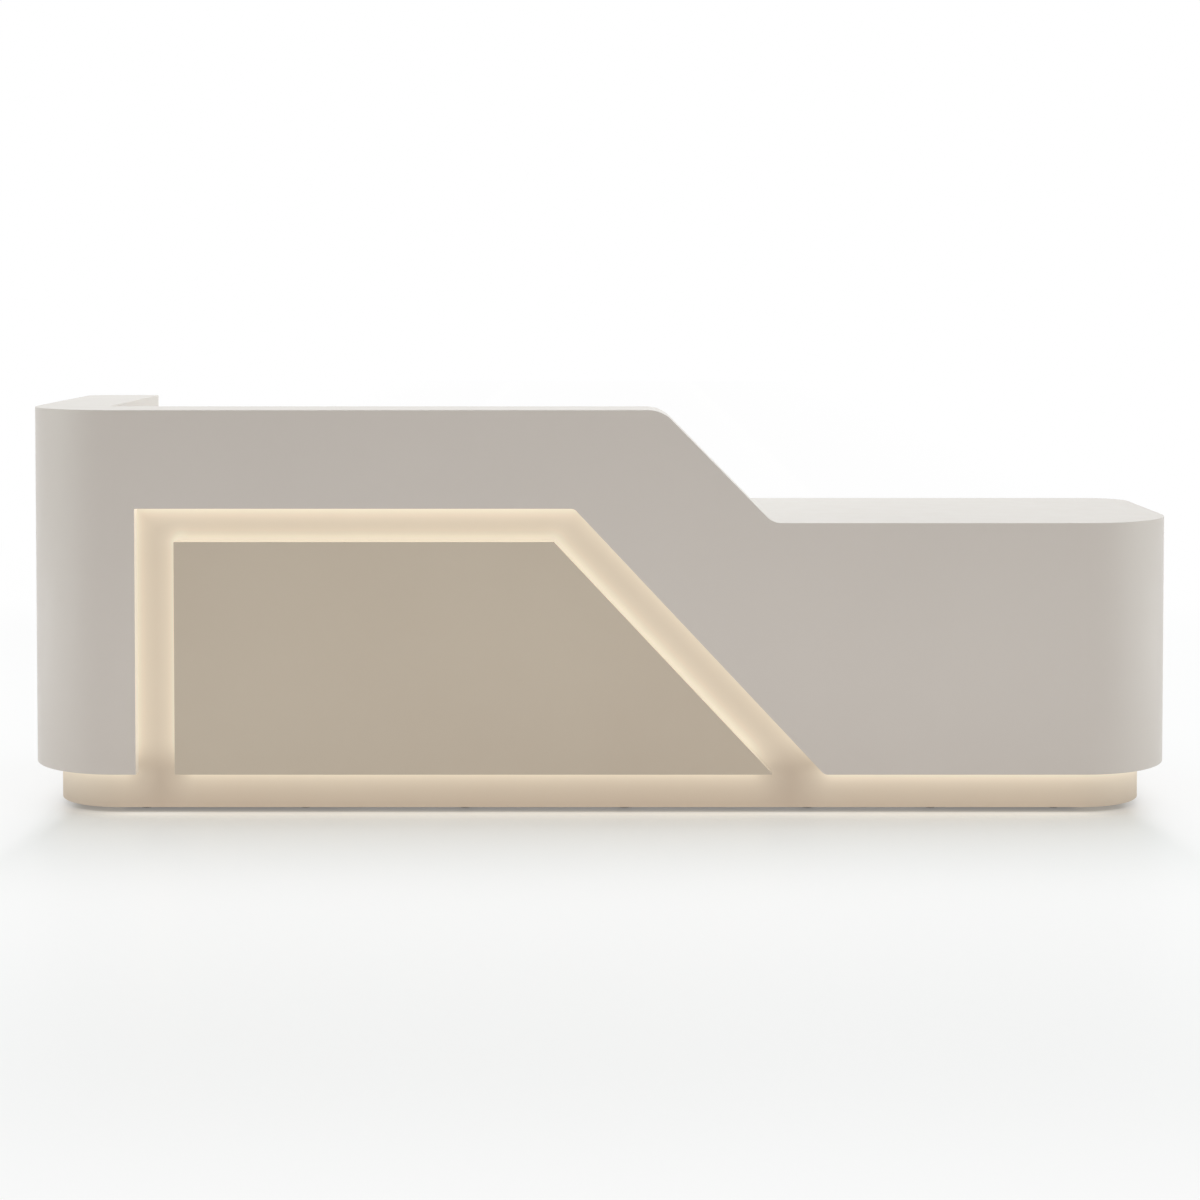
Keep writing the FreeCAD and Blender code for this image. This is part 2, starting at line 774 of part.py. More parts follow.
door_bottom = shell_bottom + board + front_gap
door_top = under_low - front_gap
door_left_edge = cupboard_left_x + board + hinge_gap
door_right_edge = cupboard_right_x - board - hinge_gap
door_width = (door_right_edge - door_left_edge - front_gap) / 2
hinge_depth = fronts_face + barrel_lift + barrel_radius
hinge_left_x = door_left_edge - hinge_gap / 2
hinge_right_x = door_right_edge + hinge_gap / 2
hinge_heights = (door_bottom + hinge_inset, door_top - hinge_inset - hinge_height)


def build_cupboard(parts):
    left = cupboard_left_x
    right = cupboard_right_x
    base_top = shell_bottom + board
    parts["cupboard_base"] = banded(left, right, wall_depth, fronts_face, shell_bottom, base_top)
    shelf_back = wall_depth + shelf_gap
    shelf_front = fronts_back - shelf_setback
    inner_left = left + board
    inner_right = right - board
    parts["cupboard_shelf"] = banded(
        inner_left + shelf_gap, inner_right - shelf_gap, shelf_back, shelf_front, shelf_height, shelf_height + board
    )

    sides = [
        banded(left, inner_left, wall_depth, fronts_face, base_top, under_low),
        banded(inner_right, right, wall_depth, fronts_face, base_top, under_low),
    ]
    pins = []
    holes = []
    pin_z = shelf_height - shelf_pin_radius
    length = shelf_pin_depth + shelf_pin_reach
    for depth in (shelf_back + foot_from_rib, shelf_front - foot_from_rib):
        for x in (inner_left - shelf_pin_depth, inner_right - shelf_pin_reach):
            pins.append(rod(x, depth, pin_z, shelf_pin_radius, length, (1, 0, 0)))
        for x in (inner_left - shelf_pin_depth, inner_right):
            radius = shelf_pin_radius + shelf_pin_hole_gap
            holes.append(rod(x, depth, pin_z, radius, shelf_pin_depth, (1, 0, 0)))
    parts["cupboard_sides"] = Part.makeCompound([side.cut(Part.makeCompound(holes)) for side in sides])
    parts["shelf_pins"] = Part.makeCompound(pins)

    handle_z = (door_bottom + door_top) / 2
    left_end = door_left_edge + door_width
    right_start = door_right_edge - door_width
    for name, x0, x1, handle_x in (
        ("door_left", door_left_edge, left_end, left_end - handle_from_edge),
        ("door_right", right_start, door_right_edge, right_start + handle_from_edge),
    ):
        panel = block(x0, x1, fronts_back, fronts_face, door_bottom, door_top)
        parts[name + "_panel"] = soften(panel, edge_arris, lambda c: near(depth_of(c), fronts_face))
        parts[name + "_handle"] = handle(handle_x, handle_z, True)

    fixed = []
    hinge_pins = []
    for name, x, inward in (("door_left", hinge_left_x, 1), ("door_right", hinge_right_x, -1)):
        leaves = [leaf(x, hinge_depth, z, inward, True) for z in hinge_heights]
        parts[name + "_hinge_leaves"] = Part.makeCompound(leaves)
        fixed += [leaf(x, hinge_depth, z, -inward, False) for z in hinge_heights]
        hinge_pins += [rod(x, hinge_depth, z, hinge_pin_radius, hinge_height, (0, 0, 1)) for z in hinge_heights]
    parts["hinge_fixed_leaves"] = Part.makeCompound(fixed)
    parts["hinge_pins"] = Part.makeCompound(hinge_pins)


drawers_bottom = shell_bottom + board
drawers_top = under_low - board
file_drawer_height = drawers_top - drawers_bottom - 4 * front_gap - 2 * small_drawer_height


def drawer_places():
    # Name, lower edge and height of each drawer front, from the top down.
    top = drawers_top - front_gap - small_drawer_height
    middle = top - front_gap - small_drawer_height
    bottom = drawers_bottom + front_gap
    return (
        ("drawer_top", top, small_drawer_height),
        ("drawer_middle", middle, small_drawer_height),
        ("drawer_bottom", bottom, file_drawer_height),
    )


box_back = wall_depth + box_rear_gap
lock_x = drawers_right_x - front_gap - lock_from_edge
lock_z = drawers_top - front_gap - lock_drop


def runner_pair(z, fixed):
    # Channels on the pedestal, or the bars that run in them, one on each side.
    wall = runner_wall
    pair = []
    for x, inward in ((drawers_left_x, 1), (drawers_right_x, -1)):
        if fixed:
            outline = [
                (x, z, 0),
                (x + inward * runner_flange, z, 0),
                (x + inward * runner_flange, z + wall, 0),
                (x + inward * wall, z + wall, 0),
                (x + inward * wall, z + runner_height - wall, 0),
                (x + inward * runner_flange, z + runner_height - wall, 0),
                (x + inward * runner_flange, z + runner_height, 0),
                (x, z + runner_height, 0),
            ]
            pair.append(sheet(outline, box_back, fronts_back))
        else:
            edges = sorted((x + inward * (wall + runner_gap), x + inward * runner_space))
            low = z + wall + runner_gap
            high = z + runner_height - wall - runner_gap
            pair.append(block(edges[0], edges[1], box_back, fronts_back, low, high))
    return pair


def build_pedestal(parts):
    left = pedestal_left_x
    right = cabinet_right_x
    parts["pedestal_base"] = banded(left, right, wall_depth, fronts_face, shell_bottom, drawers_bottom)
    parts["pedestal_sides"] = Part.makeCompound([
        banded(left, drawers_left_x, wall_depth, fronts_face, drawers_bottom, under_low),
        banded(drawers_right_x, right, wall_depth, fronts_face, drawers_bottom, under_low),
    ])
    parts["pedestal_top_rail"] = banded(
        drawers_left_x, drawers_right_x, fronts_back, fronts_face, drawers_top, under_low
    )

    fixed_runners = []
    left = drawers_left_x + runner_space
    right = drawers_right_x - runner_space
    middle_x = (drawers_left_x + drawers_right_x) / 2
    for name, z, height in drawer_places():
        front = block(
            drawers_left_x + front_gap, drawers_right_x - front_gap, fronts_back, fronts_face, z, z + height
        )
        front = soften(front, edge_arris, lambda c: near(depth_of(c), fronts_face))
        if name == "drawer_top":
            front = front.cut(rod(lock_x, fronts_back, lock_z, lock_housing_radius + lock_gap, board, (0, 1, 0)))
        parts[name + "_front"] = front

        low = z + box_lift
        high = z + height - box_drop + box_lift
        parts[name + "_box"] = Part.makeCompound([
            block(left, left + box_side, box_back, fronts_back, low, high),
            block(right - box_side, right, box_back, fronts_back, low, high),
            block(left + box_side, right - box_side, box_back, box_back + box_side, low, high - box_back_drop),
            block(left + box_side, right - box_side, box_back + box_side, fronts_back, low, low + box_bottom),
        ])
        parts[name + "_handle"] = handle(middle_x, z + height - drawer_handle_drop, False)
        parts[name + "_runners"] = Part.makeCompound(runner_pair(low + runner_lift, False))
        fixed_runners += runner_pair(low + runner_lift, True)
    parts["pedestal_runners"] = Part.makeCompound(fixed_runners)


def build_lock(parts):
    along = (0, 1, 0)
    housing = rod(lock_x, fronts_back, lock_z, lock_housing_radius, board, along)
    flange = rod(lock_x, fronts_face, lock_z, lock_flange_radius, lock_flange_depth, along)
    flange = soften(flange, lock_flange_arris, lambda c: near(depth_of(c), fronts_face + lock_flange_depth))
    bore = rod(lock_x, fronts_back, lock_z, lock_plug_radius + lock_gap, board + lock_flange_depth, along)
    parts["drawer_lock_housing"] = housing.fuse(flange).cut(bore).Solids[0]

    plug_start = fronts_back - lock_rear_gap
    plug_end = fronts_face + lock_flange_depth
    plug = rod(lock_x, plug_start, lock_z, lock_plug_radius, plug_end - plug_start, along)
    half = key_slot_width / 2
    reach = key_slot_length / 2
    slot = block(lock_x - half, lock_x + half, plug_end - key_slot_depth, plug_end, lock_z - reach, lock_z + reach)
    half = lock_cam_width / 2
    cam = block(
        lock_x - lock_cam_length, lock_x + half,
        plug_start - lock_cam_thickness, plug_start, lock_z - half, lock_z + half,
    )
    parts["drawer_lock_plug"] = plug.cut(slot).fuse(cam).Solids[0]


def build():
    parts = {}
    build_shell(parts)
    build_tops(parts)
    build_panel(parts)
    build_backboards(parts)
    build_inner_panels(parts)
    build_ribs(parts)
    build_battens(parts)
    build_base(parts)
    build_lights(parts)
    build_switch(parts)
    build_fittings(parts)
    build_cupboard(parts)
    build_pedestal(parts)
    build_lock(parts)
    return parts


os.makedirs("parts", exist_ok=True)
for node, shape in build().items():
    shape.exportStep(os.path.join("parts", node + ".step"))
    print(node, len(shape.Solids), round(shape.Volume / 1e6, 3))
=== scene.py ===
import math

import bmesh
import bpy
from mathutils import Matrix, Vector


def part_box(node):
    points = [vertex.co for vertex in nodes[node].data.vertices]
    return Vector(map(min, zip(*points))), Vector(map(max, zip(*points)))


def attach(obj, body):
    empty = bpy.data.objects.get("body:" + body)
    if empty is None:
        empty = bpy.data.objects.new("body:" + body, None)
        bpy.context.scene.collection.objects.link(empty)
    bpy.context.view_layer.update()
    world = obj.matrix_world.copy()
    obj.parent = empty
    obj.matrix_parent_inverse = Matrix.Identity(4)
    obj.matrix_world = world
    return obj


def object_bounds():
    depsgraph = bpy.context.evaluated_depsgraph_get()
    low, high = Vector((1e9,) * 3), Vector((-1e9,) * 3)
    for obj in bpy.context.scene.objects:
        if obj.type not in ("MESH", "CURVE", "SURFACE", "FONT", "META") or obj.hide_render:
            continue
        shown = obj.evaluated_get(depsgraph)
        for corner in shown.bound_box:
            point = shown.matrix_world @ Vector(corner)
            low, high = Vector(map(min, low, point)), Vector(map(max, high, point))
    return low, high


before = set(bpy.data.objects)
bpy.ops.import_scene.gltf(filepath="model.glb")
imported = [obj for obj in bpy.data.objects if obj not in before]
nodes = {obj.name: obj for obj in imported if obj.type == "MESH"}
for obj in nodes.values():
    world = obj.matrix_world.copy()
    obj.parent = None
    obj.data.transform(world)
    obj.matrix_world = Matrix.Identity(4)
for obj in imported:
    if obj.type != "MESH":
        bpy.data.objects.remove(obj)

mm = 0.001  # the scene is in metres, the dictionaries are in millimetres where they don't say otherwise
cadLow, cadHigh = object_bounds()
scene = bpy.context.scene
scene.view_settings.view_transform = "Standard"


# sRGB hex to the linear colour that sockets take
def hexColour(code):
    shares = [int(code[i:i + 2], 16) / 255 for i in (1, 3, 5)]
    linear = [s / 12.92 if s <= 0.04045 else ((s + 0.055) / 1.055) ** 2.4 for s in shares]
    return (*linear, 1.0)


# one node with its settings, then its links; a setting is a socket where the node has one of that name
def addNode(tree, kind, settings=None, links=None):
    node = tree.nodes.new("ShaderNode" + kind)
    for key, value in (settings or {}).items():
        if isinstance(key, int) or key in node.inputs:
            node.inputs[key].default_value = value
        else:
            setattr(node, key, value)
    for key, socket in (links or {}).items():
        tree.links.new(socket, node.inputs[key])
    return node


# settings of a mix between two shades, its colours are sockets 6 and 7 and its result is output 2
def shadePair(first, second):
    return {"data_type": "RGBA", 6: hexColour(first), 7: hexColour(second)}


# settings that carry one pair of limits over to another
def mapLimits(source, target=(0, 1)):
    return {"From Min": source[0], "From Max": source[1], "To Min": target[0], "To Max": target[1]}


# how many noise cells fit in a metre when one cell is this wide
def perMetre(millimetres):
    return 1 / (millimetres * mm)


# a material with its shader, and the place on the piece in metres
def startMaterial(name):
    material = bpy.data.materials.new(name)
    material.use_nodes = True
    tree = material.node_tree
    shader = tree.nodes["Principled BSDF"]
    place = addNode(tree, "TexCoord").outputs["Object"]
    return material, tree, shader, place


# noise keeps near its middle, so these levels are spread over the whole range
noiseSpread = {"shade": (0.3, 0.7), "roughness": (0.25, 0.75)}


# two close shades that drift into each other over the piece
def driftColour(tree, place, look):
    drift = addNode(tree, "TexNoise", {"Scale": perMetre(look["driftWidth"]), "Detail": 3.0},
                    {"Vector": place})
    spread = addNode(tree, "MapRange", mapLimits(noiseSpread["shade"]), {"Value": drift.outputs["Fac"]})
    return addNode(tree, "Mix", shadePair(*look["colours"]), {0: spread.outputs["Result"]}).outputs[2]


# roughness that wanders between two values
def driftRoughness(tree, place, look):
    drift = addNode(tree, "TexNoise", {"Scale": perMetre(look["roughnessWidth"]), "Detail": 4.0},
                    {"Vector": place})
    limits = mapLimits(noiseSpread["roughness"], look["roughness"])
    return addNode(tree, "MapRange", limits, {"Value": drift.outputs["Fac"]}).outputs["Result"]


# colour, roughness and relief go into the shader
def finishShader(tree, shader, look, colour, roughness, relief):
    bumpSet = {"Strength": look["reliefStrength"], "Distance": look["reliefDepth"] * mm}
    bump = addNode(tree, "Bump", bumpSet, {"Height": relief})
    tree.links.new(colour, shader.inputs["Base Color"])
    tree.links.new(roughness, shader.inputs["Roughness"])
    tree.links.new(bump.outputs["Normal"], shader.inputs["Normal"])
    if "ior" in look:  # metals and fibreboard keep the default
        shader.inputs["IOR"].default_value = look["ior"]


def dress(material, *names):
    for name in names:
        piece = nodes[name]
        piece.data.materials.clear()
        piece.data.materials.append(material)


# sprayed satin lacquer: an even warm white skin, with a faint orange peel that only highlights show
satinLacquer = {"colours": ("#DCD2CB", "#D9CFC8"), "driftWidth": 900, "roughness": (0.34, 0.42),
                "roughnessWidth": 60, "peelWidth": 5, "reliefDepth": 0.012, "reliefStrength": 0.25,
                "ior": 1.5}
# the inset panel has the same spray in beige, a little more matt
beigeLacquer = {"colours": ("#D4C5B3", "#D0C0AE"), "driftWidth": 700, "roughness": (0.42, 0.50),
                "roughnessWidth": 60, "peelWidth": 5, "reliefDepth": 0.012, "reliefStrength": 0.25,
                "ior": 1.5}
# boards behind the channel: matt cream, with the light of the strips painted on as glow
creamLacquer = {"colours": ("#D6C4B2", "#D3C0AE"), "driftWidth": 500, "roughness": (0.55, 0.65),
                "roughnessWidth": 40, "peelWidth": 4, "reliefDepth": 0.01, "reliefStrength": 0.25,
                "ior": 1.48}


def lacquer(name, look):
    material, tree, shader, place = startMaterial(name)
    colour = driftColour(tree, place, look)
    roughness = driftRoughness(tree, place, look)
    # real orange peel is 2 to 3 mm wide, drawn coarser so that it shows
    peel = addNode(tree, "TexNoise", {"Scale": perMetre(look["peelWidth"]), "Detail": 2.0}, {"Vector": place})
    finishShader(tree, shader, look, colour, roughness, peel.outputs["Fac"])
    return material


weldWithin = 0.001 * mm  # points of one solid that lie closer than this are the same


# the separate solids of a node, each as a list of its points
def solidsOf(node):
    mesh = bmesh.new()
    mesh.from_mesh(nodes[node].data)
    bmesh.ops.remove_doubles(mesh, verts=mesh.verts, dist=weldWithin)
    waiting = set(mesh.verts)
    solids = []
    for first in mesh.verts:
        if first not in waiting:
            continue
        waiting.remove(first)
        front = [first]
        points = []
        while front:
            vert = front.pop()
            points.append(vert.co.copy())
            joined = [edge.other_vert(vert) for edge in vert.link_edges]
            fresh = [other for other in joined if other in waiting]
            waiting.difference_update(fresh)
            front.extend(fresh)
        solids.append(points)
    mesh.free()
    return solids


def boxOf(points):
    low = Vector([min(p[i] for p in points) for i in range(3)])
    high = Vector([max(p[i] for p in points) for i in range(3)])
    return low, high


# how the stretches of the light strips are read from their node, and where the light painted beside them
# begins and ends
stripRuns = {
    "bentDepth": 10,  # a strip that is deeper than this goes round a corner of the desk
    "faceDepth": 3,  # the part of it that looks to the visitor
    "endWidth": 0.1,  # points this close to its end belong to the end
    "levelRise": 1,  # a stretch that rises less than this is level
    "pastEnds": 500,  # goes on this far where it bends away
    "footBelow": 200,  # strips under this height light the plinth, the others the channel
    "leftGap": 16, "rightFoot": 6, "cornerReach": 18, "footReach": 24, "behindEdge": 13,
}


# stretches of the light strips seen from the visitor side: both ends, and how far their full painted light
# reaches
def lightRuns(look):
    runs = {"channel": [], "foot": []}
    panelLow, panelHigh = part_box("inset_panel")
    panelMiddle = (panelLow.x + panelHigh.x) / 2
    for points in solidsOf("led_strips"):
        low, high = boxOf(points)
        bent = high.y - low.y > look["bentDepth"] * mm
        stretch = [p for p in points if p.y < low.y + look["faceDepth"] * mm]
        low, high = boxOf(stretch)
        axis = 0 if high.x - low.x > high.z - low.z else 2
        ends = []
        for edge in (low[axis], high[axis]):
            atEnd = [p for p in stretch if abs(p[axis] - edge) < look["endWidth"] * mm]
            middle = sum(atEnd, Vector()) / len(atEnd)
            ends.append(Vector((middle.x, 0, middle.z)))
        if bent:  # goes on round the corner of the desk, so it has no end there
            outer = max(ends, key=lambda end: abs(end.x))
            outer.x += math.copysign(look["pastEnds"] * mm, outer.x)
        along = ends[1] - ends[0]
        if high.z < look["footBelow"] * mm:
            # the strips of the foot stop short of the upright part of the channel
            for end, inward in zip(ends, (1, -1)):
                if end.x < panelMiddle:
                    end.x += inward * look["leftGap"] * mm
            # the light painted beside the strip under the low counter reaches a little further than the
            # others
            runs["foot"].append((*ends, look["rightFoot"] * mm if low.x > panelHigh.x else 0))
            continue
        # the light meets at the corners of the channel, and goes on a little past its feet
        onward = along.normalized() * mm
        ends[0] -= onward * (look["cornerReach"] if axis == 0 else look["footReach"])
        ends[1] += onward * look["cornerReach"]
        # the edges of the panel and the upper edge of the shell hide more of the board beside their strips
        hidden = high.z < panelHigh.z or abs(along.z) < look["levelRise"] * mm
        runs["channel"].append((*ends, look["behindEdge"] * mm if hidden else 0))
    return runs


# painted light: the light of the strips on what is near them is painted on as glow, its strength by the
# distance from the nearest strip
paintedStripLight = {
    "colour": "#FFFAE4",
    "channel": ((0, 0.53), (8, 0.44), (17, 0.345), (29, 0.275), (44, 0.235), (62, 0.21), (80, 0.13),
                (100, 0.06), (150, 0)),
    "foot": ((0, 0.5), (20, 0.41), (31, 0.28), (41, 0.215), (57, 0.14), (75, 0.1), (98, 0.06), (150, 0)),
    "soft": 15,  # rounds the valley between two strips
    "overlap": 0.05,  # the same where the channel meets the foot, in strength
    "fadeOver": (60, 195),  # heights between which the light of the channel comes up
    "wallShare": 0.72,
    "wallTurn": (0.6, 0.1),  # how much a wall faces the visitor: from unlit to fully lit
}


# a smooth level along a distance, through pairs of millimetres and level
def levelAlong(tree, distance, pairs):
    reach = pairs[-1][0]
    scaled = addNode(tree, "Math", {"operation": "DIVIDE", 1: reach * mm}, {0: distance})
    ramp = addNode(tree, "ValToRGB", {}, {"Fac": scaled.outputs[0]})
    ramp.color_ramp.interpolation = "B_SPLINE"
    stops = ramp.color_ramp.elements
    while len(stops) < len(pairs):
        stops.new(0.5)
    for stop, (length, level) in zip(stops, pairs):
        stop.position = length / reach
        stop.color = (level, level, level, 1)
    return ramp.outputs["Color"]


# distance from the nearest of several stretches, seen from the front and less the reach of its full light
def nearestStretch(tree, place, stretches, soft):
    nearest = None
    for start, end, full in stretches:
        along = end - start
        fromStart = addNode(tree, "VectorMath", {"operation": "SUBTRACT", 1: start}, {0: place}).outputs[0]
        project = {"operation": "DOT_PRODUCT", 1: along / along.length_squared}
        share = addNode(tree, "VectorMath", project, {0: fromStart}).outputs["Value"]
        share = addNode(tree, "Clamp", {}, {"Value": share}).outputs[0]
        foot = addNode(tree, "VectorMath", {"operation": "SCALE", 0: along}, {"Scale": share}).outputs[0]
        away = addNode(tree, "VectorMath", {"operation": "DISTANCE"}, {0: fromStart, 1: foot})
        away = addNode(tree, "Math", {"operation": "SUBTRACT", 1: full}, {0: away.outputs["Value"]})
        if nearest is not None:
            join = {"operation": "SMOOTH_MIN", 2: soft}
            away = addNode(tree, "Math", join, {0: nearest, 1: away.outputs[0]})
        nearest = away.outputs[0]
    return nearest


# paints the light of the strips into a material as glow, on its walls alone or all over
def paintStripLight(material, runs, look, onWalls=False):
    tree = material.node_tree
    shader = tree.nodes["Principled BSDF"]
    place = addNode(tree, "TexCoord").outputs["Object"]
    place = addNode(tree, "VectorMath", {"operation": "MULTIPLY", 1: (1, 0, 1)}, {0: place}).outputs[0]
    glow = {}
    for kind, stretches in runs.items():
        nearest = nearestStretch(tree, place, stretches, look["soft"] * mm)
        glow[kind] = levelAlong(tree, nearest, look[kind])
    # the light of the channel fades towards its foot
    height = addNode(tree, "SeparateXYZ", {}, {0: place}).outputs["Z"]
    rise = {"interpolation_type": "SMOOTHSTEP", **mapLimits([edge * mm for edge in look["fadeOver"]])}
    fade = addNode(tree, "MapRange", rise, {"Value": height}).outputs["Result"]
    channel = addNode(tree, "Math", {"operation": "MULTIPLY"}, {0: glow["channel"], 1: fade}).outputs[0]
    join = {"operation": "SMOOTH_MAX", 2: look["overlap"]}
    total = addNode(tree, "Math", join, {0: channel, 1: glow["foot"]}).outputs[0]
    if onWalls:  # front and back faces stay unlit, they look along y
        facing = addNode(tree, "NewGeometry").outputs["True Normal"]
        facing = addNode(tree, "SeparateXYZ", {}, {0: facing}).outputs["Y"]
        facing = addNode(tree, "Math", {"operation": "ABSOLUTE"}, {0: facing}).outputs[0]
        turn = mapLimits(look["wallTurn"], (0, look["wallShare"]))
        share = addNode(tree, "MapRange", turn, {"Value": facing}).outputs["Result"]
        total = addNode(tree, "Math", {"operation": "MULTIPLY"}, {0: total, 1: share}).outputs[0]
    shader.inputs["Emission Color"].default_value = hexColour(look["colour"])
    tree.links.new(total, shader.inputs["Emission Strength"])


dress(lacquer("satinLacquerWarmWhite", satinLacquer), "shell_left", "shell_right", "wing_end_post",
      "high_counter_top", "slope_capping", "low_counter_top", "worktop")

# painted light: the walls of the channel and the boards behind it get the light of the strips painted on as
# glow
runs = lightRuns(stripRuns)
for name, title, look in (("front_shell", "satinLacquerWarmWhitePaintedLight", satinLacquer),
                          ("inset_panel", "satinLacquerBeigePaintedLight", beigeLacquer)):
    walls = lacquer(title, look)
    paintStripLight(walls, runs, paintedStripLight, onWalls=True)
    dress(walls, name)

paintedLightBoard = lacquer("mattLacquerCreamPaintedLight", creamLacquer)
paintStripLight(paintedLightBoard, runs, paintedStripLight)
dress(paintedLightBoard, "backboard_front", "backboard_left", "backboard_right")
print("lacquers and light wash done")


# melamine faced board: pressed against a pearl plate, so it has a fine even pebble and a low sheen
whiteMelamine = {"colours": ("#E7E0D9", "#E3DCD5"), "driftWidth": 800, "roughness": (0.45, 0.55),
                 "roughnessWidth": 30, "pebbleWidth": 2.5, "pebbleSmooth": 0.6, "reliefDepth": 0.03,
                 "reliefStrength": 0.35, "ior": 1.5}
# the drawer boxes have the same board in light grey
greyMelamine = {"colours": ("#CBCAC7", "#C6C5C2"), "driftWidth": 300, "roughness": (0.5, 0.6),
                "roughnessWidth": 30, "pebbleWidth": 2.5, "pebbleSmooth": 0.6, "reliefDepth": 0.03,
                "reliefStrength": 0.35, "ior": 1.5}


def melamine(name, look):
    material, tree, shader, place = startMaterial(name)
    colour = driftColour(tree, place, look)
    roughness = driftRoughness(tree, place, look)
    # the pebble is under 1 mm wide on the board, drawn coarser so that it shows
    pebbleSet = {"Scale": perMetre(look["pebbleWidth"]), "feature": "SMOOTH_F1",
                 "Smoothness": look["pebbleSmooth"]}
    pebble = addNode(tree, "TexVoronoi", pebbleSet, {"Vector": place})
    finishShader(tree, shader, look, colour, roughness, pebble.outputs["Distance"])
    return material


dress(melamine("melamineWarmWhite", whiteMelamine), "wall_inner_panel", "wing_inner_panel", "plinth_boards",
      "cupboard_base", "cupboard_shelf", "cupboard_sides", "door_left_panel", "door_right_panel",
      "pedestal_base", "pedestal_sides", "pedestal_top_rail",
      "drawer_top_front", "drawer_middle_front", "drawer_bottom_front")
dress(melamine("melamineLightGrey", greyMelamine), "drawer_top_box", "drawer_middle_box", "drawer_bottom_box")


# raw fibreboard: pressed wood fibre, a dull brown felt of short pale and dark hairs
rawFibreboard = {"colours": ("#A98B66", "#8F7250"), "fibreWidth": 1.5, "fibreLength": 9, "fibreCurl": 1.2,
                 "roughness": (0.8, 0.92), "roughnessWidth": 20, "reliefDepth": 0.08, "reliefStrength": 0.4}


def fibreboard(name, look):
    material, tree, shader, place = startMaterial(name)
    stretchSet = {"Scale": (look["fibreWidth"] / look["fibreLength"], 1, 1)}
    stretch = addNode(tree, "Mapping", stretchSet, {"Vector": place})
    fibreSet = {"Scale": perMetre(look["fibreWidth"]), "Detail": 5.0, "Distortion": look["fibreCurl"]}
    fibre = addNode(tree, "TexNoise", fibreSet, {"Vector": stretch.outputs[0]}).outputs["Fac"]
    colour = addNode(tree, "Mix", shadePair(*look["colours"]), {0: fibre}).outputs[2]
    finishShader(tree, shader, look, colour, driftRoughness(tree, place, look), fibre)
    return material


dress(fibreboard("rawFibreboard", rawFibreboard), "wall_ribs", "standoff_battens", "base_plates")
print("boards done")


# satin nickel plate, brushed before plating: soft grey metal with hair lines along the bar
satinNickel = {"colours": ("#B9B5AE", "#A9A59E"), "roughness": (0.26, 0.36), "hairWidth": 0.8,
               "hairLength": 40, "reliefDepth": 0.01, "reliefStrength": 0.1}
# bright zinc plate on pressed steel: cooler, with cloudy patches
zincPlate = {"colours": ("#B8BCC0", "#A3A8AD"), "roughness": (0.3, 0.45), "hairWidth": 6,
             "hairLength": 6, "reliefDepth": 0.01, "reliefStrength": 0.1}
# anodised aluminium extrusion: pale, matt, with die lines along it
anodisedAluminium = {"colours": ("#C9CACC", "#BFC0C3"), "roughness": (0.32, 0.4), "hairWidth": 1,
                     "hairLength": 60, "reliefDepth": 0.01, "reliefStrength": 0.1}


def metal(name, look, alongAxis):
    material, tree, shader, place = startMaterial(name)
    scale = [1.0, 1.0, 1.0]
    scale[alongAxis] = look["hairWidth"] / look["hairLength"]
    stretch = addNode(tree, "Mapping", {"Scale": scale}, {"Vector": place})
    # hair lines of a few hundredths are drawn coarser so that they show
    hairSet = {"Scale": perMetre(look["hairWidth"]), "Detail": 3.0}
    hair = addNode(tree, "TexNoise", hairSet, {"Vector": stretch.outputs[0]}).outputs["Fac"]
    colour = addNode(tree, "Mix", shadePair(*look["colours"]), {0: hair}).outputs[2]
    limits = mapLimits(noiseSpread["shade"], look["roughness"])
    roughness = addNode(tree, "MapRange", limits, {"Value": hair}).outputs["Result"]
    finishShader(tree, shader, look, colour, roughness, hair)
    shader.inputs["Metallic"].default_value = 1.0
    return material


nickelUpright = metal("satinNickelUpright", satinNickel, 2)
nickelLevel = metal("satinNickelLevel", satinNickel, 0)
zinc = metal("zincPlate", zincPlate, 1)
dress(nickelUpright, "door_left_handle", "door_right_handle", "hinge_fixed_leaves", "door_left_hinge_leaves",
      "door_right_hinge_leaves", "hinge_pins", "drawer_lock_housing", "drawer_lock_plug")
dress(nickelLevel, "drawer_top_handle", "drawer_middle_handle", "drawer_bottom_handle", "shelf_pins")
dress(zinc, "pedestal_runners", "drawer_top_runners", "drawer_middle_runners", "drawer_bottom_runners",
      "worktop_brackets", "joining_plates", "foot_nuts")
dress(metal("anodisedAluminium", anodisedAluminium, 0), "led_profiles", "led_driver")


# LED tape: yellow phosphor dots in a row on white tape, dot edges are shares of their spacing
ledTape = {"glow": "#FFF3DE", "tape": "#F4F0E6", "dotSpacing": 8.3, "dotEdges": (0.2, 0.5),
           "strength": 0.4, "betweenDots": 0.6, "roughness": 0.5}


def ledPhosphor(name, look):
    material, tree, shader, place = startMaterial(name)
    dotSet = {"Scale": perMetre(look["dotSpacing"]), "Randomness": 0.0}
    dots = addNode(tree, "TexVoronoi", dotSet, {"Vector": place}).outputs["Distance"]
    level = mapLimits(look["dotEdges"], (look["strength"], look["strength"] * look["betweenDots"]))
    strength = addNode(tree, "MapRange", level, {"Value": dots}).outputs["Result"]
    shader.inputs["Base Color"].default_value = hexColour(look["tape"])
    shader.inputs["Roughness"].default_value = look["roughness"]
    shader.inputs["Emission Color"].default_value = hexColour(look["glow"])
    tree.links.new(strength, shader.inputs["Emission Strength"])
    return material


dress(ledPhosphor("ledPhosphorWarm", ledTape), "led_strips")


# moulded nylon: dark grey, matt, with the fine spark texture of its mould
greyNylon = {"colours": ("#454649", "#3E3F42"), "driftWidth": 20, "roughness": (0.5, 0.62),
             "roughnessWidth": 15, "sparkWidth": 1.2, "reliefDepth": 0.03, "reliefStrength": 0.3, "ior": 1.53}
